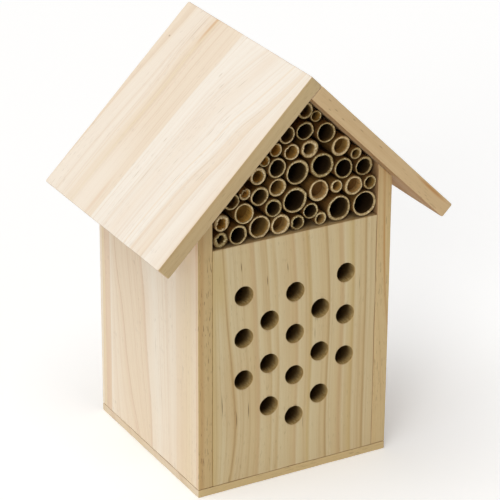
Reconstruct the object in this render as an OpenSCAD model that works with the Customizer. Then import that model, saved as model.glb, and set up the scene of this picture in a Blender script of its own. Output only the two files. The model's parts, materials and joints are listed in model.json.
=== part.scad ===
// Insect hotel: a small free-standing pine house.
// Its lower half is a block drilled with nesting holes, and its gable is packed
// with cut canes that lie on top of the block.
// Millimetres, +Z up. The front of the house faces -Y. The origin is the centre
// of the base board's underside.

/* [House] */
// Outer width across the two side walls
body_w = 100; // [90:1:130]
// Depth from the front face to the rear face
body_d = 99; // [92:1:130]
// Thickness of the side walls, the back board and the roof boards
board_t = 7.5; // [6:0.5:9]
// Thickness of the base board
base_t = 4; // [3:0.5:6]
// Height of the side walls' outer faces, from the ground to the roof
eave_h = 140; // [138:1:170]

/* [Roof] */
// Length of each roof slope along its underside, from the ridge to the eave
slope_l = 99.5; // [95:0.5:125]
// How far the roof stands out past the front face
front_overhang = 11.5; // [5:0.5:25]
// How far the roof stands out past the rear face
rear_overhang = 3.5; // [0:0.5:15]

/* [Drilled block] */
// Height of the block's top, on which the canes lie, from the ground
block_top = 122.5; // [118:0.5:126]
// Diameter of the nesting holes
hole_d = 9.5; // [6:0.5:10.5]
// Depth of the nesting holes
hole_depth = 60; // [20:1:65]
// Distance between neighbouring columns of holes
column_pitch = 13.25; // [12.5:0.25:14.5]

/* [Canes] */
// Distance from the front face to the nearest cane ends
cane_set_back = 0; // [0:0.5:3]
// How unevenly the cane ends stand, as a multiple of the set-backs in the layout below
cane_stagger = 1; // [0:0.25:2]
// Gap left between the canes and the back board
cane_rear_gap = 4; // [2:0.5:10]
// Thickness of the natural knot that closes each cane
knot_t = 1.5; // [1:0.5:3]

/* [Fasteners and hanging] */
// Diameter of the hole in the back board that hangs the house on a nail or hook
hang_hole_d = 8; // [5:0.5:10]
// Height of the hanging hole above the ground
hang_hole_z = 165; // [150:1:168]
// Diameter of a brad's shank
brad_d = 1.2; // [1:0.1:1.6]
// Diameter of a brad's head
brad_head_d = 2.2; // [2:0.1:3]
// Thickness of a brad's head, which is set flush
brad_head_t = 0.6; // [0.4:0.1:1]
// Whole length of a brad
brad_l = 18; // [15:1:22]

/* [Hidden] */
// The two roof boards meet square, so each slopes at half a right angle.
roof_pitch = 45;
round_fn = 48;
// Cutting tools run this far past the face they start from.
cut_over = 1;

front_y = -body_d / 2;
rear_y = body_d / 2;
inner_w = body_w - 2 * board_t;
// Height at which the roof boards' undersides meet over the middle
ridge_z = eave_h + body_w / 2;
roof_d = front_overhang + body_d + rear_overhang;
block_rear_y = rear_y - board_t;

// Columns of nesting holes from the middle outwards. Each row holds:
// steps sideways, height of the highest hole, distance between holes, number of holes
hole_columns = [
    [0, 93.25, 21, 4],
    [1, 82, 21.75, 3],
    [2, 97, 21, 3]
];

// Brads up through the base board: two in each wall and four in the block
wall_brad_x = body_w / 2 - board_t / 2;
block_brad_x = inner_w / 4;
base_brad_y = body_d / 3;
base_brad_xy = [
    for (x = [wall_brad_x, block_brad_x], sx = [-1, 1], sy = [-1, 1])
        [sx * x, sy * base_brad_y]
];
// Brads forward through the back board into the block, in two rows
back_brad_x = inner_w / 3;
back_brad_rows = [30, 100];
back_brad_xz = [
    for (z = back_brad_rows, sx = [-1, 1])
        [sx * back_brad_x, z]
];

// The cane bundle is laid out for a gable with this inner width and this height
// from the block's top to the ridge, and is scaled down to fit any other gable.
layout_w = 85;
layout_h = 67.5;
cane_scale = min(inner_w / layout_w, (ridge_z - block_top) / layout_h);

// The canes from the block upwards. Each row holds: sideways place,
// height above the block, outer diameter, wall, depth of the knot, set-back of the end
canes = [
    // lying on the block, from left to right
    [-38, 4, 7.5, 1.6, 16, 0.5],
    [-29.5, 5, 9.5, 0.9, 60, 0],
    [-18, 6, 11, 1, 12, 1.5],
    [-7.5, 5, 10, 1.2, 6, 1],
    [1.5, 4, 7.5, 1, 55, 1.5],
    [13.5, 3.5, 6.5, 1, 8, 1.5],
    [23, 6.5, 12.5, 1.2, 70, 1.5],
    [36, 6.5, 12.5, 1, 70, 0.5],
    // second layer
    [-37.5, 12, 8, 1.3, 18, 0.5],
    [-26.5, 14.5, 10, 0.9, 6, 0],
    [-11.5, 14, 9, 1, 65, 0.5],
    [8, 8.5, 8, 0.8, 60, 1],
    [-0.5, 15.5, 12.5, 1.1, 70, 0.5],
    [12, 17.5, 10.5, 1.1, 5, 1],
    [21.5, 17.5, 6.5, 1, 6, 1.5],
    [30, 16.5, 9.5, 1.1, 5, 0.5],
    [38.5, 16.5, 7, 0.9, 10, 0.5],
    [-39.5, 19, 5.5, 0.8, 30, 1],
    // third layer
    [-33, 21.5, 8, 0.8, 60, 0],
    [-18.5, 21, 9.5, 1, 65, 0.5],
    [-9.5, 23.5, 9, 1, 9, 0.5],
    [-26, 23.5, 6, 0.9, 10, 0.5],
    [-37.5, 27, 4, 0.7, 30, 1],
    [24.5, 26, 10, 0.9, 70, 0.5],
    [36, 24.5, 9.5, 1, 60, 1.5],
    [13.5, 29.5, 12.5, 1.3, 70, 1],
    // fourth layer
    [1, 28.5, 12, 1.1, 70, 1],
    [-19, 30.5, 8.5, 1.4, 12, 1],
    [-30, 29.5, 7, 0.9, 40, 1],
    [-10, 33, 9.5, 0.9, 65, 0],
    [31.5, 31.5, 6, 1, 7, 1.5],
    [-16.5, 37.5, 5.5, 0.8, 25, 0],
    [-24.5, 36.5, 7, 1, 30, 1],
    [23.5, 36.5, 10, 1.4, 6, 1.5],
    // under the ridge
    [-10.5, 41.5, 6.5, 0.7, 8, 0.5],
    [-2.5, 39, 8, 0.9, 7, 0.5],
    [7, 38.5, 9, 1.6, 14, 1],
    [-17.5, 44.5, 7, 1, 45, 1],
    [15, 45, 10, 0.8, 65, 0.5],
    [-5, 47.5, 8.5, 0.8, 50, 0.5],
    [4.5, 47.5, 9, 0.8, 65, 1],
    [-12, 49.5, 5, 0.8, 35, 1],
    [-4.5, 55, 6, 0.8, 30, 1],
    [10, 53.5, 5.5, 0.6, 7, 1],
    [4, 57.5, 8, 1.1, 50, 0]
];

function cane_name(i) = str("cane_", i < 9 ? "0" : "", i + 1);
function cane_front(i) = front_y + cane_set_back + cane_stagger * canes[i][5];

// A solid with the given outline in the X-Z plane, from y_front back to y_back
module upright(outline, y_front, y_back) {
    translate([0, y_back, 0])
        rotate([90, 0, 0])
            linear_extrude(y_back - y_front)
                polygon(outline);
}

// A round rod or hole along +Y
module rod_y(d, l) {
    rotate([-90, 0, 0])
        cylinder(d = d, h = l, $fn = round_fn);
}

// A brad that starts with its head at the origin and points along +Z.
// The holes for it are cut with the same shape, so it fills them.
module brad() {
    cylinder(d = brad_head_d, h = brad_head_t, $fn = round_fn);
    cylinder(d = brad_d, h = brad_l, $fn = round_fn);
}

module all_base_brads() {
    for (p = base_brad_xy)
        translate([p[0], p[1], 0]) brad();
}

module all_back_brads() {
    for (p = back_brad_xz)
        translate([p[0], rear_y, p[1]]) rotate([90, 0, 0]) brad();
}

module base_board() {
    color("burlywood")
        difference() {
            translate([-body_w / 2, front_y, 0])
                cube([body_w, body_d, base_t]);
            all_base_brads();
        }
}

// A side wall: side is -1 for the left and 1 for the right. Its top is cut to the roof's slope.
module side_wall(side) {
    outer_x = side * body_w / 2;
    inner_x = side * inner_w / 2;
    color("wheat")
        difference() {
            upright([
                [outer_x, base_t],
                [inner_x, base_t],
                [inner_x, eave_h + board_t],
                [outer_x, eave_h]
            ], front_y, rear_y);
            all_base_brads();
        }
}

module left_wall() {
    side_wall(-1);
}

module right_wall() {
    side_wall(1);
}

// The back board stands between the walls and closes the gable up to the roof.
module back_board() {
    color("wheat")
        difference() {
            upright([
                [-inner_w / 2, base_t],
                [inner_w / 2, base_t],
                [inner_w / 2, eave_h + board_t],
                [0, ridge_z],
                [-inner_w / 2, eave_h + board_t]
            ], block_rear_y, rear_y);
            translate([0, block_rear_y - cut_over, hang_hole_z])
                rod_y(hang_hole_d, board_t + 2 * cut_over);
            all_back_brads();
        }
}

// Blind nesting holes, open at the front face
module nesting_holes() {
    for (column = hole_columns, side = [-1, 1], n = [0 : column[3] - 1])
        if (side == 1 || column[0] > 0)
            translate([
                side * column[0] * column_pitch,
                front_y - cut_over,
                column[1] - n * column[2]
            ])
                rod_y(hole_d, hole_depth + cut_over);
}

module drilled_block() {
    color("tan")
        difference() {
            translate([-inner_w / 2, front_y, base_t])
                cube([inner_w, block_rear_y - front_y, block_top - base_t]);
            nesting_holes();
            all_base_brads();
            all_back_brads();
        }
}

// The left roof board runs past the ridge and covers the right board's upper end.
module left_roof_board() {
    color("blanchedalmond")
        translate([0, front_y - front_overhang, ridge_z])
            rotate([0, -roof_pitch, 0])
                translate([-slope_l, 0, 0])
                    cube([slope_l + board_t, roof_d, board_t]);
}

// The right roof board butts against the left board's underside.
module right_roof_board() {
    color("blanchedalmond")
        translate([0, front_y - front_overhang, ridge_z])
            rotate([0, roof_pitch, 0])
                cube([slope_l, roof_d, board_t]);
}

module base_brads() {
    color("silver") all_base_brads();
}

module back_brads() {
    color("silver") all_back_brads();
}

// One cane: a tube closed by its knot, with the bore open on both sides of the knot
module cane(i) {
    c = canes[i];
    outer_d = c[2] * cane_scale;
    bore_d = outer_d - 2 * c[3];
    knot_y = c[4];
    cane_l = block_rear_y - cane_rear_gap - cane_front(i);
    color("khaki")
        translate([c[0] * cane_scale, cane_front(i), block_top + c[1] * cane_scale])
            difference() {
                rod_y(outer_d, cane_l);
                translate([0, -cut_over, 0])
                    rod_y(bore_d, knot_y + cut_over);
                translate([0, knot_y + knot_t, 0])
                    rod_y(bore_d, cane_l - knot_y - knot_t + cut_over);
            }
}

base_board();
left_wall();
right_wall();
back_board();
drilled_block();
left_roof_board();
right_roof_board();
base_brads();
back_brads();
for (i = [0 : len(canes) - 1])
    cane(i);
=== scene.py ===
import json
import math
import random

import bpy
from mathutils import Matrix, Vector, noise
from mathutils.geometry import delaunay_2d_cdt


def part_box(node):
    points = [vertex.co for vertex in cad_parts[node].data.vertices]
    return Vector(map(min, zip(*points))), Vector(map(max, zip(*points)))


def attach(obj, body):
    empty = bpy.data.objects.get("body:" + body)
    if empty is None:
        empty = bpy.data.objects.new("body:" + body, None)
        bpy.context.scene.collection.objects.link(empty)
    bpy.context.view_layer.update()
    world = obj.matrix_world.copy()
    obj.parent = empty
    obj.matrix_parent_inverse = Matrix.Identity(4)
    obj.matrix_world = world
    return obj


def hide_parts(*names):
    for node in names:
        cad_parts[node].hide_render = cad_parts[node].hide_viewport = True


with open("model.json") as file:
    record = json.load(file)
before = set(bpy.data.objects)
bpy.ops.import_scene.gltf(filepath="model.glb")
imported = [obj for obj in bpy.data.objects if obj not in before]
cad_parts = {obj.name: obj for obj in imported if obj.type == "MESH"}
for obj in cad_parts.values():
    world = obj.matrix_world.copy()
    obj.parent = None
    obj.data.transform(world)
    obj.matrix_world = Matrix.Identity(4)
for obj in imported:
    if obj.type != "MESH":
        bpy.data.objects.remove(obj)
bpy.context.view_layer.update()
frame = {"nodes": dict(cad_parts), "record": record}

# The insect hotel's looks: pine boards and a drilled pine block with a gable
# full of cut canes. Lengths here are in millimetres unless a line says metres.
MM = 0.001


def added(name, data):
    """A new object in the scene."""
    made = bpy.data.objects.new(name, data)
    bpy.context.scene.collection.objects.link(made)
    return made


# ---- camera
CAMERA_PLACE = (-534.7, -960.4, 591.8)
CAMERA_AZIMUTH = math.radians(-29.29)
CAMERA_ELEVATION = math.radians(24.35)
CAMERA_ROLL = math.radians(0.36)
CAMERA_LENS = 186.3

flat = math.cos(CAMERA_ELEVATION)
cam_back = Vector((
    math.sin(CAMERA_AZIMUTH) * flat,
    -math.cos(CAMERA_AZIMUTH) * flat,
    math.sin(CAMERA_ELEVATION),
))
level = Vector((math.cos(CAMERA_AZIMUTH), math.sin(CAMERA_AZIMUTH), 0))
upright = cam_back.cross(level)
cam_right = level * math.cos(CAMERA_ROLL) + upright * math.sin(CAMERA_ROLL)
cam_up = upright * math.cos(CAMERA_ROLL) - level * math.sin(CAMERA_ROLL)

camera_data = bpy.data.cameras.new("camera")
camera_data.lens = CAMERA_LENS
camera_data.sensor_width = 36
camera = added("camera", camera_data)
camera.matrix_world = (
    Matrix.Translation(Vector(CAMERA_PLACE) * MM)
    @ Matrix((cam_right, cam_up, cam_back)).transposed().to_4x4()
)
bpy.context.scene.camera = camera
bpy.context.scene.view_settings.view_transform = "Standard"


# ---- shader tools
def linear(colour):
    """An sRGB colour of 0 to 255 as the linear numbers that shaders take."""
    parts = []
    for channel in colour:
        share = channel / 255
        parts.append(share / 12.92 if share <= 0.04045 else ((share + 0.055) / 1.055) ** 2.4)
    return (*parts, 1.0)


OPERATIONS = {"*+": "MULTIPLY_ADD", "*": "MULTIPLY", "/": "DIVIDE", "-": "SUBTRACT"}


class Shader:
    """One material: short calls that add its nodes and join them."""

    def __init__(self, name):
        self.material = bpy.data.materials.new(name)
        self.material.use_nodes = True
        self.tree = self.material.node_tree
        self.tree.nodes.clear()
        self.surface = self.node("BsdfPrincipled")
        self.node("OutputMaterial", (self.surface.outputs[0],))
        coordinates = self.node("TexCoord")
        self.facing = coordinates.outputs["Normal"]
        # The object's own coordinates in millimetres
        self.place = self.mapped(coordinates.outputs["Object"], (1 / MM, 1 / MM, 1 / MM))

    def put(self, socket, value):
        if isinstance(value, bpy.types.NodeSocket):
            self.tree.links.new(value, socket)
        else:
            socket.default_value = value

    def set(self, name, value):
        self.put(self.surface.inputs[name], value)

    def node(self, kind, values=(), **settings):
        made = self.tree.nodes.new("ShaderNode" + kind)
        for name, value in settings.items():
            setattr(made, name, value)
        for socket, value in zip(made.inputs, values):
            if value is not None:
                self.put(socket, value)
        return made

    def math(self, operation, *values):
        operation = OPERATIONS.get(operation, operation)
        return self.node("Math", values, operation=operation).outputs[0]

    def mapped(self, vector, scale, shift=(0, 0, 0)):
        return self.node("Mapping", (vector, shift, (0, 0, 0), scale)).outputs[0]

    def parts(self, vector):
        return self.node("SeparateXYZ", (vector,)).outputs

    def attribute(self, label):
        return self.node("Attribute", attribute_name=label).outputs["Fac"]

    def joined(self, x, y, z):
        return self.node("CombineXYZ", (x, y, z)).outputs[0]

    def noise(self, vector, scale, detail=2.0, roughness=0.5):
        """Noise of 0 to 1 with its middle near 0.5; scale is cells per millimetre along x, y, z."""
        values = (self.mapped(vector, scale), None, 1.0, detail, roughness)
        return self.node("TexNoise", values).outputs[0]

    def fade(self, value, start, end, low=0.0, high=1.0):
        """Goes smoothly from low at start to high at end."""
        values = (value, start, end, low, high)
        return self.node("MapRange", values, interpolation_type="SMOOTHSTEP").outputs[0]

    def ramp(self, value, stops):
        """Stops are (place from 0 to 1, linear colour)."""
        made = self.node("ValToRGB", (value,))
        elements = made.color_ramp.elements
        while len(elements) < len(stops):
            elements.new(1.0)
        for element, (place, colour) in zip(elements, stops):
            element.position = place
            element.color = colour
        return made.outputs[0]

    def curve(self, value, points):
        """A smooth curve through points that run from 0 to 1 both ways."""
        made = self.node("FloatCurve", (1.0, value))
        line = made.mapping.curves[0]
        line.points[0].location = points[0]
        line.points[1].location = points[-1]
        for point in points[1:-1]:
            line.points.new(*point)
        made.mapping.update()
        return made.outputs[0]

    def mix(self, share, first, second, blend="MIX"):
        """A colour of three numbers is sRGB of 0 to 255, and one of four is linear."""
        made = self.node("Mix", data_type="RGBA", blend_type=blend)
        for place, value in ((0, share), (6, first), (7, second)):
            if isinstance(value, tuple) and len(value) == 3:
                value = linear(value)
            self.put(made.inputs[place], value)
        return made.outputs[2]

    def stain(self, colour, tone, value, start, end, share, low=0.0):
        """Takes the colour towards tone by low to share, as value goes from start to end."""
        return self.mix(self.fade(value, start, end, low, share), colour, tone)

    def bump(self, height, distance):
        """Height of 0 to 1 as bumps up to distance millimetres high."""
        made = self.node("Bump")
        self.put(made.inputs["Distance"], distance * MM)
        self.put(made.inputs["Height"], height)
        self.set("Normal", made.outputs[0])

    def finish(self, colour, roughness, specular):
        self.set("Base Color", colour)
        self.set("Roughness", roughness)
        self.set("Specular IOR Level", specular)
        return self.material


# ---- pine
# Colours of planed pine in even white light
PINE = {
    "cream": (252, 245, 233), "light": (248, 236, 219), "tan": (241, 222, 196),
    "straw": (237, 216, 178), "brown": (214, 184, 146), "pink": (234, 207, 180),
    "rust": (220, 178, 132), "grey": (214, 199, 176), "dark": (128, 98, 64),
}


def toned(name, contrast):
    """A pine colour, moved towards the plain light one where contrast is under 1."""
    plain = linear(PINE["light"])
    return tuple(p + (c - p) * contrast for p, c in zip(plain, linear(PINE[name])))


# How far grain lines wander across the board
WANDER = 1.4
# How clearly resin canals show on a planed face
FACE_CANALS = 0.2
# What the face that is turned inwards multiplies its colour by: painted shade
INNER_SHADE_TINT = (0.52, 0.38, 0.235, 1)


def pine(name, across, along, bands, anchors, marks=(), tint=(1, 1, 1), edge_shade_tint=(0.8, 0.7, 0.52),
         seed=0.0, slant=0.7, face=0.0, contrast=1.0, edge_canals=0.8, face_out=1, end_share=0.6):
    """Planed pine whose grain runs along the piece's own y.

    across is (place of zero on x, direction, least, most) and along is (place of zero on y,
    direction, length): they give the two measures that the rest is written in. bands name a
    place across and its colour, one after the other. anchors are the grain lines that the
    others follow: (across, and each (along, across) that the line runs through, with none where
    it is straight). marks are single streaks: (across, along, half width, half length, colour
    name, strength).
    All of it is drawn on the face at z = face, and lies slant further across with each
    millimetre of z. The house's outside is towards z times face_out. tint and edge_shade_tint
    multiply the colour all over and on the edges that face x. contrast is how strongly bands
    and rings show, edge_canals how clearly resin canals show on the edges, and end_share how
    far the ends take end grain's colour.
    """
    s = Shader(name)
    x, y, z = s.parts(s.place)
    u = s.math("*+", x, across[1], -across[0] * across[1])
    v = s.math("*+", y, along[1], -along[0] * along[1])
    least, most = across[2:]
    seeded = s.mapped(s.place, (1, 1, 1), (seed * 37.1, seed * 91.7, seed * 13.3))
    # Each anchor line's place at this height; the grain is spread evenly between them.
    height = s.math("/", v, along[2])
    places = []
    for rest, *path in anchors:
        line = rest
        if path:
            shape = [(h / along[2], (p - least) / (most - least)) for h, p in path]
            line = s.math("*+", s.curve(height, shape), most - least, least)
        places.append((rest, line))
    straight = places[0][0]
    for (rest, line), (next_rest, next_line) in zip(places, places[1:]):
        gap = s.math("-", next_line, line)
        past = s.math("-", u, line)
        part = s.node("Math", (past, gap), operation="DIVIDE", use_clamp=True)
        straight = s.math("*+", part.outputs[0], next_rest - rest, straight)
    # Grain lines wander a little, and lie aslant through the board's thickness.
    wander = s.noise(seeded, (0.04, 0.014, 0.05), 1.0)
    grain = s.math("*+", wander, WANDER, s.math("-", straight, WANDER / 2))
    grain = s.math("*+", s.math("-", z, face), slant, grain)
    spread = s.math("/", s.math("-", grain, least), most - least)
    pairs = [band.split() for band in bands.split(", ")]
    stops = [((float(p) - least) / (most - least), toned(tone, contrast)) for p, tone in pairs]
    colour = s.ramp(spread, stops)
    lines = s.joined(grain, y, z)
    # Faint growth rings between the drawn ones, fine fibres and a warm blush here and there
    rings = s.noise(lines, (0.6, 0.004, 0.03), 4.0, 0.62)
    fibres = s.noise(lines, (3.2, 0.07, 3.2), 3.0, 0.6)
    blush = s.noise(seeded, (0.035, 0.012, 0.05), 2.0)
    for shade, tone, least_shade, most_shade, strength in (
        (rings, "brown", 0.4, 0.68, 0.2 * contrast), (fibres, "brown", 0.3, 0.75, 0.12 * contrast),
        (blush, "pink", 0.45, 0.75, 0.2 * contrast), (rings, "brown", 0.56, 0.61, 0.1 * contrast),
    ):
        amount = s.fade(shade, least_shade, most_shade, 0.0, strength)
        colour = s.mix(amount, colour, PINE[tone], "MULTIPLY")
    facing = s.parts(s.facing)
    side = s.fade(s.math("ABSOLUTE", facing[0]), 0.45, 0.85)
    end = s.fade(s.math("ABSOLUTE", facing[1]), 0.6, 0.9)
    # Short dark resin canals, which show most where the board's edge cuts along them
    short = s.noise(lines, (2.0, 0.24, 2.0), 1.0, 0.4)
    patch = s.noise(seeded, (0.08, 0.03, 0.08), 1.0)
    shown = s.math("*+", side, edge_canals - FACE_CANALS, FACE_CANALS)
    canal = s.math("*", s.fade(short, 0.63, 0.71), s.fade(patch, 0.38, 0.62, 0.15, 0.8))
    canal = s.math("*", canal, shown)
    colour = s.mix(canal, colour, PINE["dark"])
    cracks = None
    for place, high, half_u, half_v, tone, strength in marks:
        size = (1 / half_u, 1 / half_v, 1)
        scaled = s.mapped(s.joined(grain, v, 0.0), size, (-place / half_u, -high / half_v, 0))
        reach = s.node("VectorMath", (scaled,), operation="LENGTH").outputs[1]
        amount = s.fade(reach, 1.0, 0.15, 0.0, strength)
        colour = s.mix(amount, colour, PINE[tone])
        if tone == "dark":
            cracks = amount if cracks is None else s.math("MAXIMUM", cracks, amount)
    # Painted shade: edges facing x are darker and yellower than planed faces, inner faces darker still.
    colour = s.mix(side, colour, (*edge_shade_tint, 1.0), "MULTIPLY")
    inward = s.fade(facing[2], -0.6 * face_out, -0.9 * face_out)
    colour = s.mix(inward, colour, INNER_SHADE_TINT, "MULTIPLY")
    # Growth rings cross the ends as flat arcs.
    away = s.math("ABSOLUTE", s.math("-", u, least + (most - least) * 0.4))
    bow = s.math("POWER", away, 1.7)
    arcs = s.math("*+", bow, 0.012, s.math("*+", wander, 2.0, z))
    arc_noise = s.noise(s.joined(arcs, 0.0, seed), (1.1, 1, 1), 3.0, 0.7)
    end_colour = s.mix(s.fade(arc_noise, 0.35, 0.7), (204, 168, 120), (156, 116, 72))
    pores = s.noise(seeded, (4.0, 4.0, 4.0), 3.0, 0.7)
    end_colour = s.stain(end_colour, (120, 90, 56), pores, 0.55, 0.8, 0.45)
    colour = s.mix(s.math("*", end, end_share), colour, end_colour)
    colour = s.mix(1.0, colour, (*tint, 1.0), "MULTIPLY")
    relief = s.math("*+", fibres, 0.5, s.math("*", rings, 0.5))
    relief = s.math("-", relief, s.math("*", canal, 0.8))
    if cracks is not None:
        relief = s.math("-", relief, cracks)
    relief = s.math("*+", s.math("*", end, pores), 0.9, relief)
    s.bump(relief, 0.12)
    rough = s.math("*+", end, 0.14, s.fade(fibres, 0.3, 0.7, 0.6, 0.76))
    return s.finish(colour, rough, 0.15)


def drilled_pine(front_face):
    """The walls of the drilled holes: torn grain, with painted shade that darkens it the deeper it lies."""
    s = Shader("drilled_pine")
    depth = s.math("-", front_face, s.parts(s.place)[2])
    fuzz = s.noise(s.place, (1.6, 1.6, 0.5), 3.0, 0.7)
    rings = s.noise(s.place, (0.02, 0.02, 2.4), 2.0, 0.5)
    grain = s.noise(s.place, (1.6, 0.06, 0.3), 3.0, 0.6)
    colour = s.mix(s.fade(grain, 0.35, 0.65), (196, 170, 116), (172, 143, 90))
    colour = s.stain(colour, (116, 90, 52), fuzz, 0.5, 0.8, 0.4)
    # Painted shade: darker the deeper down the hole
    colour = s.stain(colour, (76, 56, 28), depth, 1.0, 7.0, 0.92, 0.1)
    relief = s.math("*+", rings, 0.5, fuzz)
    s.bump(relief, 0.2)
    return s.finish(colour, s.fade(fuzz, 0.3, 0.7, 0.7, 0.9), 0.1)


# ---- mesh tools
class Solid:
    """Collects the vertices and faces of one closed mesh."""

    def __init__(self):
        self.points = []
        self.faces = []
        self.paints = []
        self.paint = 0

    def loop(self, points):
        start = len(self.points)
        self.points += [Vector(p) for p in points]
        return list(range(start, len(self.points)))

    def bridge(self, first, second):
        count = len(first)
        for i in range(count):
            j = (i + 1) % count
            self.faces.append((first[i], first[j], second[j], second[i]))
            self.paints.append(self.paint)

    def wrap(self, loops):
        for first, second in zip(loops, loops[1:]):
            self.bridge(first, second)

    def cap(self, loop, pole):
        tip = self.loop([pole])[0]
        count = len(loop)
        for i in range(count):
            self.faces.append((loop[i], loop[(i + 1) % count], tip))
            self.paints.append(self.paint)

    def fill(self, outer, holes, corners, upward):
        """Fills a flat outline that has holes, with a grid of points well inside its corners."""
        own = list(outer) + [i for hole in holes for i in hole]
        flat_points = [self.points[i].xy for i in own]
        level_z = self.points[outer[0]].z
        lows = [min(p[k] for p in flat_points) for k in (0, 1)]
        highs = [max(p[k] for p in flat_points) for k in (0, 1)]
        middles = []
        for hole in holes:
            centre = sum((self.points[i].xy for i in hole), Vector((0, 0))) / len(hole)
            middles.append((centre, (self.points[hole[0]].xy - centre).length))
        inside = []
        counts = [max(1, round((highs[k] - lows[k]) / GRID)) for k in (0, 1)]
        for i in range(1, counts[0]):
            for j in range(1, counts[1]):
                steps = ((0, i), (1, j))
                spot = Vector([lows[k] + (highs[k] - lows[k]) * n / counts[k] for k, n in steps])
                if any((spot - c).length < r + GRID * 0.35 for c, r in middles):
                    continue
                if within(spot, corners, GRID * 0.5):
                    inside.append(spot)
        added = self.loop([(p.x, p.y, level_z) for p in inside])
        ids = own + added
        pairs = []
        start = 0
        for ring in [outer, *holes]:
            count = len(ring)
            pairs += [(start + i, start + (i + 1) % count) for i in range(count)]
            start += count
        # Fills everything inside the outer ring; the holes' own triangles are left out below.
        made = delaunay_2d_cdt(flat_points + inside, pairs, [], 1, 1e-7)
        back = [origin[0] if origin else None for origin in made[3]]
        for face in made[2]:
            spot = sum((made[0][i] for i in face), Vector((0, 0))) / 3
            if any((spot - c).length < r * 0.995 for c, r in middles):
                continue
            triangle = [ids[back[i]] for i in face]
            self.faces.append(tuple(triangle if upward else reversed(triangle)))
            self.paints.append(self.paint)

    def piece(self, name, materials, place, shades=None):
        mesh = bpy.data.meshes.new(name)
        mesh.from_pydata([p * MM for p in self.points], [], self.faces)
        for material in materials:
            mesh.materials.append(material)
        mesh.polygons.foreach_set("material_index", self.paints)
        mesh.polygons.foreach_set("use_smooth", [True] * len(self.faces))
        for label, values in (shades or {}).items():
            mesh.attributes.new(label, "FLOAT", "POINT").data.foreach_set("value", values)
        mesh.validate()
        mesh.update()
        made = added(name, mesh)
        made.matrix_world = place
        return made


def within(spot, edge, margin):
    """Whether a spot is inside a convex counter-clockwise outline, at least margin from it."""
    sides = [(a, b - a) for a, b in zip(edge, edge[1:] + edge[:1])]
    return all(side.cross(spot - a) / side.length >= margin for a, side in sides)


# Least radius that is left of a corner or its rounding
LEAST_TURN = 0.03
# Angles of the steps round a worn arris
ARC = [k / 4 * math.pi / 2 for k in range(5)]
# Width of the flat ring beside an arris, which keeps the face's shading flat
SUPPORT = 0.4
# Spacing of points inside flat faces, along and up the boards' edges, and down a hole
GRID, EDGE_STEP, HOLE_STEP = 5.0, 2.5, 4
# A corner's radius, as a multiple of its board's arris
CORNER = 1.6


def eased_outline(corners, radius):
    """Places round a convex outline with rounded corners: each a function of how far in it moves."""
    ring, arcs = [], []
    count = len(corners)
    for i, corner in enumerate(corners):
        before = (corner - corners[i - 1]).normalized()
        after = (corners[(i + 1) % count] - corner).normalized()
        n0 = Vector((before.y, -before.x))
        n1 = Vector((after.y, -after.x))
        inward = -(n0 + n1) / (1 + n0.dot(n1))
        first = math.atan2(n0.y, n0.x)
        turn = (math.atan2(n1.y, n1.x) - first) % (2 * math.pi)
        arc = []
        for k in range(5):
            angle = first + turn * k / 4
            n = Vector((math.cos(angle), math.sin(angle)))

            def place(inset, corner=corner, inward=inward, n=n):
                centre = corner + inward * max(radius, inset + LEAST_TURN)
                return centre + n * max(radius - inset, LEAST_TURN)

            arc.append((place, n))
        arcs.append(arc)
    for i, arc in enumerate(arcs):
        ring += [place for place, _ in arc]
        start = arc[-1][0](0)
        n = arc[-1][1]
        end = arcs[(i + 1) % count][0][0](0)
        parts = max(1, round((end - start).length / EDGE_STEP))
        for k in range(1, parts):
            spot = start.lerp(end, k / parts)
            ring.append(lambda inset, spot=spot, n=n: spot - n * inset)
    return ring


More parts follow.
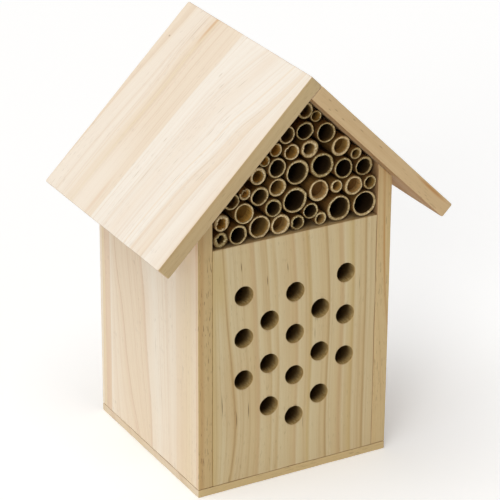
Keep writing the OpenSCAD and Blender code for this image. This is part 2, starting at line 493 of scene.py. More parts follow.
def slab(box, arris, seed, holes=(), outline=None, reshape=None):
    """A board with worn arrises, in a box given by its lowest and highest corner.

    holes are (x, y, radius, depth or None for a through hole, rim radius), open at the high
    face; the second material is on their walls. outline is convex, in x and y, where it isn't
    the box's own. reshape moves each point at the end.
    """
    rng = random.Random(seed)
    s = Solid()
    (x0, y0, low), (x1, y1, high) = box
    corners = [Vector(c) for c in outline or ((x0, y0), (x1, y0), (x1, y1), (x0, y1))]
    ring = eased_outline(corners, arris * CORNER)
    wear = []
    for place in ring:
        point = place(0)
        n = noise.noise(Vector((point.x * 0.06, point.y * 0.06, seed * 7.3)))
        fine = noise.noise(Vector((point.x * 0.35, point.y * 0.35, seed * 3.1)))
        wear.append(arris * min(1.45, max(0.55, 1 + 0.45 * n + 0.3 * fine)))
    # A few small knocks in the arrises
    for _ in range(5):
        middle = rng.randrange(len(ring))
        for k in (-1, 0, 1):
            wear[(middle + k) % len(ring)] *= 1.45 if k == 0 else 1.15
    wear = [min(w, arris * 1.55) for w in wear]
    # (share of the wear inwards, share of the wear along z, extra inwards)
    profile = [(1, 0, SUPPORT)] + [(1 - math.sin(t), 1 - math.cos(t), 0) for t in ARC]

    def ring_at(inset, extra, base, rise):
        """Each point lies at the base height plus its own wear times rise."""
        return s.loop([(*place(w * inset + extra), base + w * rise) for place, w in zip(ring, wear)])

    loops = [ring_at(inset, extra, low, rise) for inset, rise, extra in profile]
    middle_parts = max(1, round((high - low) / EDGE_STEP))
    for k in range(1, middle_parts):
        share = k / middle_parts
        loops.append(ring_at(0, 0, low + (high - low) * share, 1 - 2 * share))
    loops += [ring_at(inset, extra, high, -rise) for inset, rise, extra in reversed(profile)]
    s.wrap(loops)
    upper_holes, lower_holes = [], []
    for x, y, radius, depth, rim in holes:
        sides = 40 if radius > 2 else 20
        angles = [2 * math.pi * k / sides for k in range(sides)]
        frayed = []
        for angle in angles:
            # Drilling tears the fibres a little at the top and bottom of the rim.
            torn = abs(math.sin(angle)) ** 6
            n = noise.noise(Vector((math.cos(angle) * 3, math.sin(angle) * 3, x * 0.7 + y * 0.3)))
            frayed.append(rim * (1 + 0.5 * n + 0.5 * torn * (1 + n)))

        def circle(radii, z):
            return s.loop([
                (x + r * math.cos(a), y + r * math.sin(a), z_r)
                for a, r, z_r in zip(angles, radii, z)
            ])

        def mouth(face_z, way):
            made = [circle([radius + f + SUPPORT * 0.6 for f in frayed], [face_z] * sides)]
            for t in ARC:
                made.append(circle(
                    [radius + f * (1 - math.sin(t)) for f in frayed],
                    [face_z - way * f * (1 - math.cos(t)) for f in frayed],
                ))
            return made

        top = mouth(high, 1)
        upper_holes.append(top[0])
        s.wrap(top)
        s.paint = 1
        floor_z = low if depth is None else high - depth
        steps = max(1, round((high - floor_z) / HOLE_STEP))
        last = top[-1]
        # The wall runs between two levels that lie further in than the rims do.
        reach = rim * 1.6
        for k in range(1, steps):
            z = high - reach + (floor_z + reach - (high - reach)) * k / steps
            rough = [
                radius + 0.06 * noise.noise(Vector((math.cos(a) * 2, math.sin(a) * 2, z * 0.3 + x)))
                for a in angles
            ]
            ring_k = circle(rough, [z] * sides)
            s.bridge(last, ring_k)
            last = ring_k
        if depth is None:
            bottom = mouth(low, -1)[::-1]
            s.bridge(last, bottom[0])
            s.paint = 0
            s.wrap(bottom)
            lower_holes.append(bottom[-1])
        else:
            for share in (0.97, 0.55, 0.2):
                ring_k = circle([radius * share] * sides, [floor_z] * sides)
                s.bridge(last, ring_k)
                last = ring_k
            s.cap(last, (x, y, floor_z - radius * 0.25))
        s.paint = 0
    s.fill(loops[-1], upper_holes, corners, True)
    s.fill(loops[0], lower_holes, corners, False)
    # The planed faces wave inwards by up to a tenth of a millimetre.
    for point in s.points:
        share = (point.z - low) / (high - low)
        wave = [
            0.05 * (1 + noise.noise(Vector((point.x * 0.03, point.y * 0.03, seed * 5.1 + k * 9))))
            for k in (0, 1)
        ]
        if -0.01 <= share <= 1.01:
            point.z += wave[0] * (1 - share) - wave[1] * share
        if reshape:
            reshape(point)
    return s


def axes(x_axis, y_axis, origin=(0, 0, 0)):
    """The place of a piece whose own x and y lie along these directions."""
    x_axis = Vector(x_axis).normalized()
    y_axis = Vector(y_axis).normalized()
    turn = Matrix((x_axis, y_axis, x_axis.cross(y_axis))).transposed().to_4x4()
    return Matrix.Translation(Vector(origin) * MM) @ turn


def local_spots(node, place):
    """The node's vertices in a piece's own directions, in millimetres."""
    back = place.inverted()
    return [back @ v.co / MM for v in frame["nodes"][node].data.vertices]


def local_box(node, place):
    """The node's lowest and highest corner in the same directions."""
    spots = local_spots(node, place)
    return [Vector([f(p[k] for p in spots) for k in range(3)]) for f in (min, max)]


def stand_in(solid, node, materials, place, shades=None):
    """Makes the solid a piece that shows in place of the CAD node."""
    piece = solid.piece(node + "_look", materials, place, shades)
    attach(piece, "root")
    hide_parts(node)


def hairs(tone, half_width, *spots):
    """Marks of one colour and width, from (across, along, half length, strength)."""
    return [(u, v, half_width, half, tone, strength) for u, v, half, strength in spots]


# ---- the boards
UP = (0, 0, 1)
WALL_ARRIS = 0.4
ROOF_ARRIS = 0.55

base_place = axes((0, 1, 0), (1, 0, 0))
wall_place = axes((0, 1, 0), UP)
front_place = axes((1, 0, 0), UP)
back_place = axes((-1, 0, 0), UP)
apex_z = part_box("back_board")[1].z / MM
left_roof_place = axes((0, 1, 0), (-1, 0, -1), (0, 0, apex_z))
right_roof_place = axes((0, -1, 0), (1, 0, -1), (0, 0, apex_z))

drilled = drilled_pine(local_box("drilled_block", front_place)[1].z)


# No two brads are nearer to each other than this, and no brad is as wide
BRAD_SPACE = 3.0
# Radius, depth and rim of the dent that a brad's head is sunk in
BRAD_SEAT = (1.3, 0.7, 0.12)


def brad_spots(node, place):
    """Where the brads of a node are, in a piece's own x and y."""
    found = []
    for spot in local_spots(node, place):
        for group in found:
            if (group[0] - spot.xy).length < BRAD_SPACE:
                group.append(spot.xy)
                break
        else:
            found.append([spot.xy])
    return [
        Vector([(min(p[k] for p in group) + max(p[k] for p in group)) / 2 for k in (0, 1)])
        for group in found
    ]


def brad_seats(node, place):
    return [(p.x, p.y, *BRAD_SEAT) for p in brad_spots(node, place)]


low, high = local_box("base_board", base_place)
base_pine = pine(
    "base_pine", (0, 1, low.x, high.x), (low.y, 1, high.y - low.y),
    "-49.5 tan, -40 straw, -31 brown, -30 tan, -12 tan, -10 pink, -8.5 tan, 6 straw, 14 tan, "
    "15.5 brown, 16.5 straw, 30 tan, 38 pink, 39 tan, 49.5 straw",
    [(-49.5,), (-31, (0, -33), (40, -29), (100, -34)), (0, (0, 4), (50, -3), (100, 2)),
     (49.5,)],
    seed=1.0, face=high.z, contrast=0.4, tint=(0.96, 0.95, 0.90), edge_shade_tint=(0.75, 0.67, 0.455),
    edge_canals=0.4, end_share=0.12,
)
board = slab((low, high), WALL_ARRIS, 1, brad_seats("base_brads", base_place))
stand_in(board, "base_board", [base_pine, drilled], base_place)

LEFT_WALL_BANDS = (
    "0 light, 2 light, 2.6 straw, 4.8 straw, 5.4 pink, 10.4 pink, 11.2 cream, 12 light, 24 tan, "
    "25.6 pink, 26.3 brown, 27 tan, 38 tan, 46.4 tan, 48.5 pink, 49.2 light, 58 cream, 66 light, "
    "77 light, 78.2 tan, 90 straw, 96.5 tan, 97.5 rust, 99 straw"
)
LEFT_WALL_ANCHORS = [
    (0,), (11,),
    (26, (0, 43), (5, 40), (14, 36), (20, 33), (30, 30), (42, 27), (55, 25), (70, 21.9),
          (80, 18.7), (97, 15.6), (147.5, 13)),
    (48.7, (0, 53), (15, 52.5), (25, 52), (36, 50.6), (50, 48.7), (65, 47.2), (82, 46),
            (97, 43.7), (147.5, 40)),
    (77.5,), (99,),
]


def wall(side, material, node):
    """side is -1 for the left wall and 1 for the right one."""
    low, high = local_box(node, wall_place)
    inner = low.z if side > 0 else high.z
    tall = high.y - low.y

    def slope(point):
        """The top follows the roof, so it is lower towards the outer face."""
        top = high.y - abs(point.z - inner)
        point.y = low.y + (point.y - low.y) * (top - low.y) / tall

    board = slab((low, high), WALL_ARRIS, 2 + side, reshape=slope)
    stand_in(board, node, [material], wall_place)


left_wall_pine = pine(
    "left_wall_pine", (49.5, -1, 0, 99), (0, 1, 147.5), LEFT_WALL_BANDS, LEFT_WALL_ANCHORS,
    seed=2.0, slant=-0.7, face=-50,
    marks=[
        (8, 20, 3, 40, "pink", 0.5), (58, 60, 0.35, 9, "grey", 0.6),
        *hairs("grey", 0.3, (62, 36, 7, 0.6), (66, 84, 8, 0.5), (84, 58, 9, 0.6), (86, 96, 8, 0.5),
               (69, 22, 6, 0.5), (19, 62, 6, 0.4)),
    ],
    contrast=0.6, tint=(0.99, 0.98, 0.955), edge_shade_tint=(0.68, 0.60, 0.40), face_out=-1,
)
wall(-1, left_wall_pine, "left_wall")
right_wall_pine = pine(
    "right_wall_pine", (49.5, -1, 0, 104), (0, 1, 147.5),
    "0 tan, 9 light, 14 tan, 15 brown, 15.8 light, 30 tan, 31 pink, 32 light, 47 tan, 48 brown, "
    "48.8 tan, 60 light, 71 tan, 72 pink, 73 light, 86 tan, 87.5 pink, 88.5 tan, 95.4 tan, "
    "96.4 rust, 97 tan, 101 straw, 104 tan",
    [(0,), (15, (0, 20), (60, 17), (110, 11), (147.5, 9)),
     (48, (0, 58), (40, 52), (80, 46), (147.5, 37)), (87.5, (0, 93), (70, 90), (147.5, 86)),
     (96.4, (0, 101.5), (58, 99.3), (90, 97.2), (147.5, 95.6)), (104,)],
    seed=3.0, slant=0.8, face=50, contrast=0.8,
    marks=[
        (96.4, 105, 0.5, 32, "rust", 1), (24, 70, 0.3, 9, "dark", 0.3), (55, 30, 0.3, 8, "dark", 0.3),
    ],
    edge_shade_tint=(0.73, 0.665, 0.46), edge_canals=0.55,
)
wall(1, right_wall_pine, "right_wall")

low, high = local_box("back_board", back_place)
half = (high.x - low.x) / 2
shoulder = high.y - half
gable = [(-half, low.y), (half, low.y), (half, shoulder), (0, high.y), (-half, shoulder)]
hang_hole = next(m for m in frame["record"]["mounts"] if m["name"] == "hang_hole")
back_pine = pine(
    "back_pine", (0, 1, -42.5, 42.5), (0, 1, 190),
    "-42.5 light, -36 tan, -30 light, -22.5 tan, -21.5 brown, -20.8 light, -9 light, -4 pink, "
    "-3 tan, 8 cream, 15 light, 21 tan, 22.2 brown, 23 light, 33 tan, 34 pink, 35 light, 42.5 tan",
    [(-42.5,), (-21.5, (0, -28), (60, -23), (120, -18), (190, -24)),
     (22, (0, 15), (60, 19), (120, 25), (190, 19)), (42.5,)],
    seed=4.0, face=high.z, contrast=0.8, tint=(0.86, 0.80, 0.66),
    marks=hairs("dark", 0.3, (-12, 60, 8, 0.35), (14, 120, 9, 0.3), (28, 40, 7, 0.3)),
)
back_holes = [(0, hang_hole["pos_m"][2] / MM, hang_hole["dims"]["r_mm"], None, 0.35)]
back_holes += brad_seats("back_brads", back_place)
board = slab((low, high), WALL_ARRIS, 5, back_holes, gable)
stand_in(board, "back_board", [back_pine, drilled], back_place)

# ---- the drilled block
BLOCK_BANDS = (
    "-42.5 straw, -37 light, -31.6 tan, -30.6 brown, -29.8 tan, -28.6 light, -20.4 tan, -18.6 pink, "
    "-17.4 light, -12.2 tan, -11.4 light, -8.6 tan, -7.6 light, -0.6 tan, 0.8 pink, 2 light, "
    "6.6 tan, 7.6 straw, 9.2 light, 15.8 tan, 17.2 brown, 17.9 light, 22.5 tan, 24.5 pink, 26 light, "
    "30.2 straw, 31.2 light, 35.8 tan, 36.9 brown, 37.8 light, 42.5 tan"
)
BLOCK_ANCHORS = [
    (-42.5,),
    (-30.3, (0, -34.2), (14, -31.8), (32, -30.4), (60, -32.3), (90, -35.2), (122.5, -37.5)),
    (-18.6, (0, -19.6), (40, -18.5), (80, -20), (122.5, -23)),
    (17.4, (0, 17.6), (25, 17), (80, 18.5), (122.5, 16.3)),
    (42.5,),
]
HOLE_RIM = 0.3
holes = []
low, high = local_box("drilled_block", front_place)
block_points = local_spots("drilled_block", front_place)
front_points = [p for p in block_points if abs(p.z - high.z) < 0.01]
for opening in frame["record"]["physics"]["openings"]:
    if opening["name"].startswith("nesting_hole"):
        (x0, _, z0), (x1, _, z1) = opening["box_m"]
        middle = Vector(((x0 + x1) / 2, (z0 + z1) / 2)) / MM
        radius = min((p.xy - middle).length for p in front_points)
        floor_z = max(
            p.z for p in block_points
            if abs((p.xy - middle).length - radius) < 0.2 and p.z < high.z - 1
        )
        holes.append((middle.x, middle.y, radius, high.z - floor_z, HOLE_RIM))
block_pine = pine(
    "block_pine", (0, 1, -42.5, 42.5), (0, 1, 122.5), BLOCK_BANDS, BLOCK_ANCHORS,
    seed=6.0, face=high.z, contrast=0.9,
    marks=[
        *hairs("dark", 0.28, (-23.5, 111.5, 3.2, 0.8), (-35.5, 107.5, 3, 0.8), (-12.5, 102, 3.5, 0.8),
               (-2.7, 106.5, 3, 0.8)),
        *hairs("dark", 0.3, (-37.3, 44.5, 8, 0.9), (-23.8, 39, 5.5, 0.85), (-29.9, 35.5, 6, 0.85),
               (-31.5, 6, 3, 0.5)),
        (-36, 108, 9, 26, "straw", 0.75),
        *hairs("dark", 0.28, (10, 70, 4, 0.5), (22, 56, 5, 0.5), (33.5, 90, 5, 0.5), (5, 26, 5, 0.5)),
    ],
    # The tint darkens and yellows the block's colour all over as painted shade, for the dim warm light on
    # its front
    tint=(0.72, 0.68, 0.50),
)
board = slab((low, high), WALL_ARRIS, 6, holes)
stand_in(board, "drilled_block", [block_pine, drilled], front_place)

# ---- the roof
LEFT_ROOF_BANDS = (
    "0 tan, 2.5 tan, 4.5 light, 14 light, 20.6 light, 21.4 tan, 22 light, 25 tan, 27 tan, "
    "29.5 straw, 30.6 tan, 32.6 tan, 33.2 pink, 34 tan, 43 tan, 50.3 tan, 51 cream, 61 cream, "
    "62 light, 62.7 cream, 70 light, 78 cream, 85.4 cream, 86.2 tan, 87.2 cream, 93.2 cream, "
    "94.2 tan, 95.2 light, 101 tan, 102 cream, 112 light, 114 tan"
)
LEFT_ROOF_ANCHORS = [
    (0,),
    (6, (0, 16), (7.5, 15), (30, 10.5), (55, 6), (85, 2.5), (107, 1.5)),
    (19, (0, 20.5), (22, 18.5), (37, 19.4), (72, 17.5), (107, 17)),
    (50, (0, 51), (55, 48), (107, 47)),
    (62, (0, 76), (12, 70.5), (25, 66), (56, 62), (81, 61), (107, 60.5)),
    (94, (0, 107), (16, 103), (25, 100), (35, 96), (50, 94), (66, 90), (82, 88), (107, 87)),
    (114,),
]
low, high = local_box("left_roof_board", left_roof_place)
left_roof_pine = pine(
    "left_roof_pine", (high.x, -1, 0, high.x - low.x), (low.y, 1, high.y - low.y),
    LEFT_ROOF_BANDS, LEFT_ROOF_ANCHORS, seed=7.0, slant=0.7, face=high.z, contrast=0.62,
    tint=(1.0, 1.015, 1.05),
    marks=[
        (28, 4, 1.6, 15, "rust", 0.7), (27, 36, 1.5, 34, "brown", 0.25), (21, 9, 0.5, 11, "dark", 0.2),
        (45, 98, 2.2, 18, "rust", 0.4), (37, 98, 14, 50, "light", 0.75),
        (94.4, 30, 0.35, 16, "grey", 0.5), (94.4, 58, 0.35, 12, "grey", 0.5),
        *hairs("grey", 0.3, (70, 19, 4.5, 0.9), (74, 34, 3.5, 0.9), (80, 45, 4, 0.9),
               (85, 70, 4.5, 0.9), (75, 64, 3, 0.9), (62, 77, 8, 0.8), (57, 59, 2, 0.9),
               (57, 79, 4, 0.9), (56, 21, 2, 0.9), (61, 25, 2.5, 0.9), (82, 36, 4, 0.8),
               (88, 44, 5, 0.8), (98, 62, 7, 0.8)),
        (2.5, 18.5, 0.5, 0.7, "dark", 0.5),
    ],
    edge_shade_tint=(0.62, 0.525, 0.335), edge_canals=0.25,
)
board = slab((low, high), ROOF_ARRIS, 7)
stand_in(board, "left_roof_board", [left_roof_pine], left_roof_place)

low, high = local_box("right_roof_board", right_roof_place)
right_roof_pine = pine(
    "right_roof_pine", (low.x, 1, 0, high.x - low.x), (low.y, 1, high.y - low.y),
    "0 tan, 6 light, 17 cream, 24 light, 25.2 brown, 26 light, 38 tan, 39 pink, 40 light, 52 cream, "
    "59 light, 60.2 tan, 61 cream, 74 light, 75 brown, 75.7 light, 88 tan, 96 straw, 97 light, "
    "108 cream, 114 tan",
    [(0,), (25, (0, 31), (40, 26), (99.5, 19)), (60, (0, 71), (50, 61), (99.5, 52)),
     (88, (0, 94), (99.5, 86)), (114,)],
    seed=8.0, slant=-0.7, face=high.z, contrast=0.7,
    marks=[
        (114.6, 84, 0.8, 16, "rust", 1),
        *hairs("dark", 0.25, (115.6, 8, 1.6, 0.4), (116.6, 14, 1.8, 0.4), (117.3, 20, 1.5, 0.4),
               (115.1, 25, 1.4, 0.4), (116.1, 32, 1.8, 0.35), (117.8, 11, 1.3, 0.4)),
        *hairs("dark", 0.3, (115.9, 46, 2, 0.4), (33, 40, 6, 0.3), (67, 25, 7, 0.3), (48, 70, 5, 0.3)),
    ],
    edge_shade_tint=(0.74, 0.64, 0.46), edge_canals=0.5,
)
board = slab((low, high), ROOF_ARRIS, 8)
stand_in(board, "right_roof_board", [right_roof_pine], right_roof_place)


# ---- brads
def brad_steel():
    s = Shader("brad_steel")
    grain = s.noise(s.place, (3, 3, 3), 3.0, 0.6)
    colour = s.mix(s.fade(grain, 0.35, 0.7), (176, 174, 168), (122, 118, 110))
    s.set("Metallic", 1.0)
    s.bump(grain, 0.03)
    return s.finish(colour, s.fade(grain, 0.3, 0.7, 0.3, 0.5), 0.5)


def brads(node, place):
    """Each brad has a flat head with a bevelled edge, and a ribbed shank with a point."""
    low, high = local_box(node, place)
    s = Solid()
    length = high.z - low.z
    sides = 20
    # (distance below the head's face, radius)
    shape = [
        (0.14, 0.75), (0.1, 0.9), (0.14, 1.02), (0.25, 1.1), (0.5, 1.1), (0.6, 1.02), (0.62, 0.62),
        (1.2, 0.6), (1.5, 0.56), (1.8, 0.6), (2.1, 0.56), (2.4, 0.6), (2.7, 0.56), (3.0, 0.6),
        (length - 2, 0.6), (length - 0.6, 0.25),
    ]
    for spot in brad_spots(node, place):
        loops = []
        for drop, radius in shape:
            loops.append(s.loop([
                (spot.x + radius * math.cos(2 * math.pi * k / sides),
                 spot.y + radius * math.sin(2 * math.pi * k / sides), high.z - drop)
                for k in range(sides)
            ]))
        s.wrap(loops[::-1])
        s.cap(loops[0], (spot.x, spot.y, high.z - 0.16))
        s.cap(loops[-1][::-1], (spot.x, spot.y, low.z + 0.05))
    stand_in(s, node, [steel], place)


steel = brad_steel()
brads("base_brads", base_place)
brads("back_brads", back_place)


# ---- canes
# The canes' attributes choose between colours: tone darkens the rim and turns straw skin brown,
# hue turns an olive inside pink, the painted inside shade darkens the inside, and layer runs from
# 0 at the bore to 1 at the skin across the cut rim.

# The painted shade that knots and bores fade to deep down
DEEP_SHADE = (46, 32, 17)
# Streaks along the canes, patches and fine grain, for noise()
STREAKS = ((1.3, 0.12, 1.3), 3.0, 0.65)
PATCHES = ((0.22, 0.08, 0.22), 2.0)
FINE = ((4, 4, 4), 3.0, 0.7)


def cane_inside(name, olive, pink, shaded_inside, blotch):
    s = Shader(name)
    streaks, fine = s.noise(s.place, *STREAKS), s.noise(s.place, *FINE)
    inside_shade = s.attribute("inside_shade")
    colour = s.stain(s.mix(s.attribute("hue"), olive, pink), blotch, streaks, 0.45, 0.75, 0.4)
    # Painted shade: each cane's inside is darkened by its own amount
    colour = s.mix(inside_shade, colour, shaded_inside)
    # Painted shade: darker the deeper into the cane, more so where the inside is shaded
    depth = s.fade(s.parts(s.place)[1], 0.2, 4.0, 0.0, 0.95)
    colour = s.mix(s.math("*", depth, s.math("*+", inside_shade, 0.7, 0.3)), colour, DEEP_SHADE)
    s.bump(s.math("*+", fine, 0.4, streaks), 0.2)
    return s.finish(colour, s.fade(streaks, 0.3, 0.7, 0.7, 0.9), 0.1)


def cane_rim(fresh, old, line, blotch):
    """Darker skin line outside, painted shade on the edge at the bore and dots of cut fibre between."""
    s = Shader("cane_rim")
    patches, fine = s.noise(s.place, *PATCHES), s.noise(s.place, *FINE)
    tone, layer = s.attribute("tone"), s.attribute("layer")
    specks = s.noise(s.place, (1.7, 1.7, 1.7), 2.0, 0.6)
    colour = s.stain(s.mix(tone, fresh, old), (255, 240, 205), specks, 0.54, 0.66, 0.7)
    colour = s.stain(colour, blotch, specks, 0.46, 0.34, 0.7)
    colour = s.stain(colour, blotch, fine, 0.54, 0.7, 0.6)
    colour = s.stain(colour, blotch, patches, 0.45, 0.7, 0.35)
    # Both darkenings follow tone: a darker skin line near the skin, and painted shade on the edge at the
    # bore
    worn = s.math("*+", tone, 0.4, 0.6)
    for start, end, share in ((0.66, 0.95, 0.9), (0.35, 0.0, 0.6)):
        colour = s.mix(s.math("*", s.fade(layer, start, end, 0.0, share), worn), colour, line)
    s.bump(fine, 0.2)
    return s.finish(colour, s.fade(fine, 0.3, 0.7, 0.7, 0.85), 0.1)


def cane_skin(straw, brown, patch, blotch):
    s = Shader("cane_skin")
    streaks = s.noise(s.place, *STREAKS)
    colour = s.stain(s.mix(s.attribute("tone"), straw, brown), blotch, streaks, 0.42, 0.72, 0.6)
    colour = s.stain(colour, patch, s.noise(s.place, *PATCHES), 0.5, 0.75, 0.4)
    s.bump(s.math("*+", s.noise(s.place, *FINE), 0.3, streaks), 0.15)
    return s.finish(colour, s.fade(streaks, 0.3, 0.7, 0.4, 0.6), 0.25)


# Order of the materials
KNOT, BORE, RIM, SKIN = range(4)
cane_looks = [
    # Each inside: olive, pink, the colour of its painted shade and a blotch colour
    cane_inside("cane_knot", (160, 120, 52), (164, 121, 66), (58, 40, 22), (112, 82, 40)),
    cane_inside("cane_bore", (220, 176, 92), (222, 180, 116), (42, 29, 16), (120, 88, 46)),
    cane_rim((232, 207, 158), (178, 160, 110), (118, 93, 52), (112, 86, 48)),
    cane_skin((150, 113, 60), (108, 74, 36), (76, 50, 24), (80, 53, 26)),
]
SIDES = 40
# Each visible cane's painted inside shade, hue and tone; the hidden ones draw theirs.
INSIDES = {
    1: (0.8, 0.1, 0.9), 2: (0.9, 0.5, 0.6), 3: (0.4, 0.3, 0.2), 4: (0.2, 0.6, 0.1), 5: (0.75, 0.5, 0.9),
    6: (0.3, 0.5, 0.5), 7: (0.8, 0.5, 0.5), 8: (0.95, 0.5, 0.3), 9: (0.05, 0, 0.1), 10: (0.1, 0, 0.4),
    11: (0.85, 0.5, 0.9), 12: (0.9, 0.5, 0.8), 13: (0.95, 0.5, 0.6), 14: (0.2, 0.9, 0.1),
    15: (0.15, 0.3, 0.3), 16: (0.15, 0.9, 0.2), 17: (0.4, 0.2, 0.8), 19: (0.6, 0.5, 0.7),
    20: (0.7, 0.5, 0.5), 21: (0.25, 0.3, 0.3), 22: (0, 0.3, 0.4), 24: (1, 0.5, 0.9),
    25: (0.85, 0.5, 0.8), 26: (0.9, 0.5, 0.9), 27: (0.8, 0.5, 0.5), 28: (0.1, 0.1, 0.1),
    30: (0.8, 0.5, 0.5), 31: (0.4, 0.3, 0.7), 32: (0, 0.1, 0.9), 34: (0.2, 0.4, 0.1), 35: (0, 0.2, 0.4),
    36: (0.15, 0.2, 0.1), 37: (0.45, 0.6, 0.3), 39: (0.8, 0.5, 0.8), 40: (0.6, 0.5, 0.3),
    41: (0.9, 0.5, 0.8), 44: (0.3, 0.1, 0.9), 45: (0.6, 0.5, 0.9),
}
# Canes whose cut end is torn, and how much
RAGGED = {1: 0.55, 9: 0.55, 37: 0.4, 22: 0.3, 4: 0.2}
# Canes with splinters left by the saw: (angle in degrees, length)
SPLINTERS = {
    22: [(100, 1.6), (130, 1.1), (152, 1.8)], 9: [(60, 0.8), (200, 0.7)], 37: [(220, 0.8)],
    5: [(40, 0.7), (170, 0.5)], 13: [(25, 0.8)], 3: [(250, 0.7), (290, 0.5)], 26: [(75, 0.6)],
    36: [(130, 0.6)], 41: [(350, 0.6), (110, 0.5)],
}
# Half a splinter's width, in degrees round the cane
SPLINTER_HALF = 14
# How far a tear runs down the bore
TEAR_REACH = 9


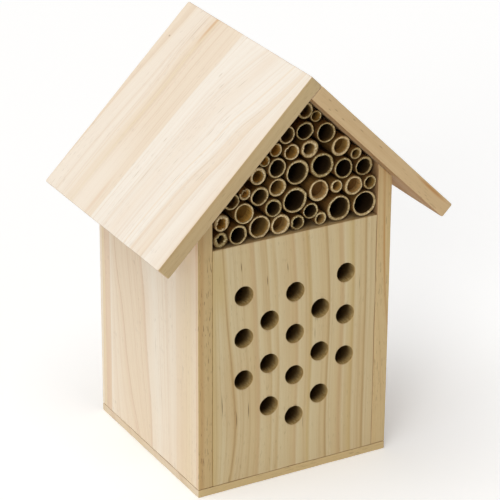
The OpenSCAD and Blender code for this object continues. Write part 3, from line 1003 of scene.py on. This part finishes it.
def cane(node, rng):
    """One cane: its own y runs from the cut front end to the rear."""
    number = int(node[-2:])
    verts = [v.co / MM for v in frame["nodes"][node].data.vertices]
    low, high = (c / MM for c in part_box(node))
    axis = Vector(((low.x + high.x) / 2, (low.z + high.z) / 2))
    radial = [(Vector((v.x, v.z)) - axis).length for v in verts]
    outer = max(radial)
    bore = min(r for r in radial if r > outer * 0.3)
    stations = sorted({round(v.y, 1) for v, r in zip(verts, radial) if r < bore + 0.05})
    front = stations[0]
    knot_near, knot_far, length = (y - front for y in (stations[1], stations[-2], stations[-1]))
    wall_t = outer - bore
    torn = RAGGED.get(number) or rng.uniform(0.03, 0.16)
    seed = rng.uniform(0, 50)
    oval, oval_way = rng.uniform(0.01, 0.06), rng.uniform(0, math.pi)
    triple, triple_way = rng.uniform(0, 0.02), rng.uniform(0, math.pi)
    shift = Vector((rng.uniform(-1, 1), rng.uniform(-1, 1))) * 0.26 * wall_t
    tilt, tilt_way = rng.uniform(0.0, 0.07), rng.uniform(0, 2 * math.pi)
    inside_shade, hue, tone = INSIDES.get(number, (rng.uniform(0.8, 1.0), 0.5, rng.uniform(0.1, 0.9)))
    angles = [2 * math.pi * k / SIDES for k in range(SIDES)]
    spikes = SPLINTERS.get(number, [])
    s = Solid()
    layers = []

    def shape(angle):
        pinch = oval * (0.5 + 0.5 * math.cos(2 * (angle - oval_way)))
        return 1 - pinch - triple * (0.5 + 0.5 * math.cos(3 * (angle - triple_way)))

    def ripple(angle, y, size, frequency):
        spot = Vector((math.cos(angle) * frequency, math.sin(angle) * frequency, y * 0.12 + seed))
        return size * noise.noise(spot)

    def loop(y, radius, layer, inner):
        """inner is 1 on the bore and 0 on the skin; it moves the bore off the cane's axis."""
        points = []
        for angle in angles:
            r = radius * shape(angle)
            r += ripple(angle, y, 0.05, 1.2) - 0.02
            if inner and y < 2:
                # The saw leaves the bore's edge frayed.
                r -= inner * wall_t * (0.16 * ripple(angle, 7, 1.0, 1.0) + 0.1 * ripple(angle, 9, 1.0, 6.0))
            if inner and y < TEAR_REACH:
                bite = max(0.0, ripple(angle, 0, 1.0, 2.2) + 0.2)
                r -= torn * bite * radius * 0.55 * (1 - y / TEAR_REACH)
            if inner == 0:
                r -= torn * 0.05 * radius * max(0.0, ripple(angle, y, 1.0, 2.0))
            # The front end is cut aslant, and is uneven, torn and splintered.
            cut = 0.0
            if y < 1.0:
                cut = tilt * (outer + r * math.cos(angle - tilt_way))
                cut += 0.1 * (1 + ripple(angle, 0, 1.0, 5.0))
                cut += torn * 0.7 * max(0.0, ripple(angle, 3, 1.0, 3.0) + 0.2)
                for degrees, tall in spikes:
                    away = math.degrees(angle) - degrees
                    cut -= tall * max(0.0, 1 - abs(away) / SPLINTER_HALF)
            points.append((
                r * math.cos(angle) + shift.x * inner,
                y + cut,
                r * math.sin(angle) + shift.y * inner,
            ))
        layers.extend([layer] * SIDES)
        return s.loop(points)

    def run(stages, paint, previous=None):
        """Joins loops to each other and to the previous one, and returns the last."""
        s.paint = paint
        for stage in stages:
            new = loop(*stage)
            if previous is not None:
                s.bridge(previous, new)
            previous = new
        return previous

    knot = ((0.15, 0.2), (0.1, 0.45), (0, 0.75), (-0.3, 0.93), (-0.8, 0.995))
    last = run([(knot_near + y, bore * share, 0, 1) for y, share in knot], KNOT)
    steps = max(2, round((knot_near - 1.5) / 3.5))
    shares = [k / steps for k in range(steps + 1)]
    last = run([((knot_near - 1.2) * (1 - k) + 0.5 * k, bore, 0, 1) for k in shares], BORE, last)
    rim = [(y, bore + wall_t * share, layer, inner) for y, share, layer, inner in (
        (0.22, 0.04, 0, 1), (0.06, 0.2, 0.2, 0.85), (0, 0.4, 0.4, 0.6), (0.02, 0.65, 0.65, 0.3),
        (0.1, 0.86, 0.86, 0.1),
    )]
    last = run([*rim, (0.25, outer - 0.03, 1, 0)], RIM, last)
    skin_steps = max(6, round(length / 5))
    node_y = (knot_near + knot_far) / 2
    stages = [(0.45, outer, 1.0, 0)]
    places = sorted(
        [1.5 + (length - 3) * k / skin_steps for k in range(skin_steps + 1)]
        + [node_y - 1.4, node_y - 0.7, node_y, node_y + 0.5, node_y + 1.0, node_y + 2]
    )
    # A cane swells at its node, with a waist just past it.
    for y in places:
        swell = 0.985
        if abs(y - node_y) < 0.1:
            swell = 1.0
        elif abs(y - node_y - 0.5) < 0.1:
            swell = 0.965
        elif abs(y - node_y) < 1.2:
            swell = 0.993
        stages.append((y, outer * swell, 1, 0))
    stages.append((length - 0.45, outer * 0.99, 1.0, 0))
    last = run(stages, SKIN, last)
    last = run(
        [(length - 0.12, outer - 0.05, 1.0, 0), (length - 0.02, bore + wall_t * 0.6, 0.6, 0.4),
         (length - 0.1, bore + wall_t * 0.1, 0.0, 1)],
        RIM, last,
    )
    steps = max(2, round((length - knot_far) / 5))
    shares = [k / steps for k in range(steps + 1)]
    run_back = length - knot_far - 1.5
    last = run([(length - 0.5 - run_back * k, bore, 0, 1) for k in shares], BORE, last)
    knot = ((0.3, 0.93), (0, 0.7), (-0.05, 0.3))
    last = run([(knot_far + y, bore * share, 0, 1) for y, share in knot], KNOT, last)
    s.cap(last, (shift.x, knot_far - 0.05, shift.y))
    layers.append(0)
    s.cap(range(SIDES)[::-1], (shift.x, knot_near + 0.15, shift.y))
    layers.append(0)
    place = Matrix.Translation(Vector((axis.x, front, axis.y)) * MM)
    count = len(s.points)
    shades = {"tone": [tone] * count, "hue": [hue] * count, "inside_shade": [inside_shade] * count, "layer": layers}
    stand_in(s, node, cane_looks, place, shades)


cane_nodes = sorted(name for name in frame["nodes"] if name.startswith("cane_"))
for index, node in enumerate(cane_nodes):
    cane(node, random.Random(100 + index))


# ---- floor and light
def floor_paint():
    s = Shader("pale_floor")
    mottle = s.noise(s.place, (0.002, 0.002, 0.002), 2.0)
    colour = s.mix(mottle, (0.92, 0.93, 0.95, 1), (0.94, 0.95, 0.97, 1))
    s.set("Emission Color", (1, 1, 1, 1))
    s.set("Emission Strength", 0.2)
    return s.finish(colour, 0.8, 0.1)


# Half the floor's width and its depth below the house, in metres
FLOOR_HALF, FLOOR_DROP = 12.0, 0.0001
floor_mesh = bpy.data.meshes.new("floor")
floor_corners = [(x * FLOOR_HALF, y * FLOOR_HALF, 0) for x, y in ((-1, -1), (1, -1), (1, 1), (-1, 1))]
floor_mesh.from_pydata(floor_corners, [], [(0, 1, 2, 3)])
floor_mesh.materials.append(floor_paint())
floor = added("floor", floor_mesh)
floor.location.z = -FLOOR_DROP

world = bpy.data.worlds.new("studio")
bpy.context.scene.world = world
world.use_nodes = True
background = world.node_tree.nodes["Background"]
background.inputs["Color"].default_value = (1.0, 0.965, 0.91, 1)
background.inputs["Strength"].default_value = 0.2


def sun(name, direction, brightness, softness, colour):
    """A distant lamp: brightness is what it adds to white that faces it, softness degrees wide."""
    data = bpy.data.lights.new(name, "SUN")
    data.energy = brightness * math.pi
    data.angle = math.radians(softness)
    data.color = colour
    made = added(name, data)
    made.location = Vector(direction)
    made.rotation_euler = Vector(direction).to_track_quat("Z", "Y").to_euler()


sun("key", (-0.29, -0.05, 0.956), 0.61, 60, (1.0, 0.99, 0.97))
sun("front", (-0.66, -0.62, 0.42), 0.20, 20, (1.0, 0.97, 0.92))
